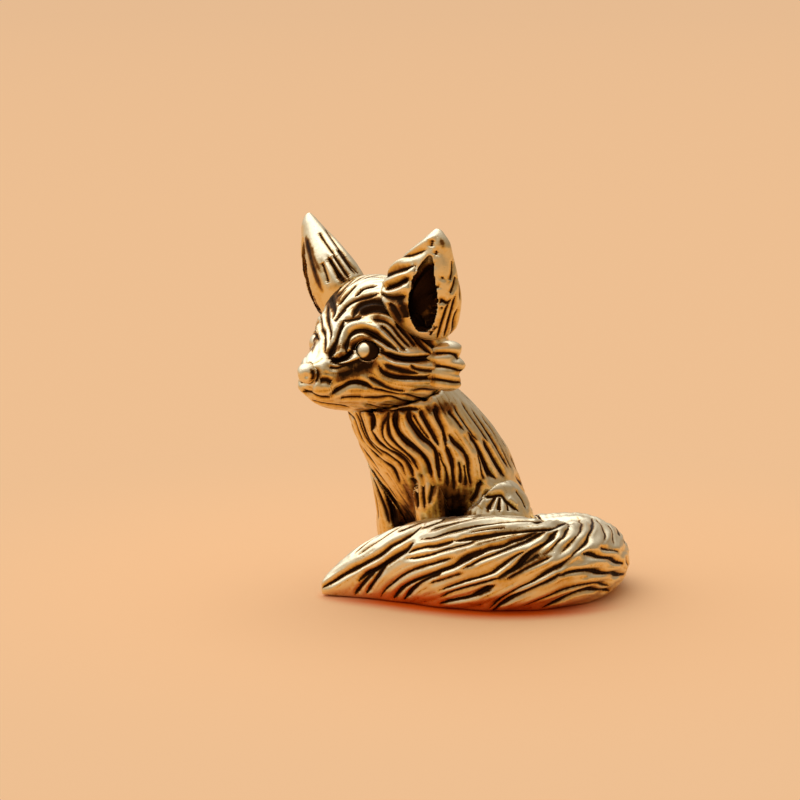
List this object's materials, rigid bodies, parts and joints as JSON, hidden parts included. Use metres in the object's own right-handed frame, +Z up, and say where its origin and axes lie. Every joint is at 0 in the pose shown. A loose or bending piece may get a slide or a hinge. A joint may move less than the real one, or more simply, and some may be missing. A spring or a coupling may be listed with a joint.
{
  "type": "fox figurine",
  "caption": "Small sitting fox figurine in antiqued cast brass, with upright hollow ears and a bushy tail curled round its left side to the front; stands on its flat base as an ornament.",
  "frame": {"origin": "on the table, under the middle of the body, inside the torso's flat base", "axes": "+Z up, the fox faces -Y, its left side with the curled tail is +X"},
  "size_m": [0.0239, 0.0282, 0.0313],
  "materials": {
    "antique_brass": "antiqued: bright rubbed brass on the high spots, black-brown patina in the carved fur"
  },
  "bodies": {
    "root": {"torso": "antique_brass", "head": "antique_brass", "lower_jaw": "antique_brass", "nose": "antique_brass", "eye_left": "antique_brass", "eye_right": "antique_brass", "ear_left": "antique_brass", "ear_right": "antique_brass", "cheek_ruff_left": "antique_brass", "cheek_ruff_right": "antique_brass", "foreleg_left": "antique_brass", "foreleg_right": "antique_brass", "forepaw_left": "antique_brass", "forepaw_right": "antique_brass", "haunch_left": "antique_brass", "haunch_right": "antique_brass", "hind_paw_left": "antique_brass", "hind_paw_right": "antique_brass", "tail": "antique_brass"}
  },
  "joints": []
}
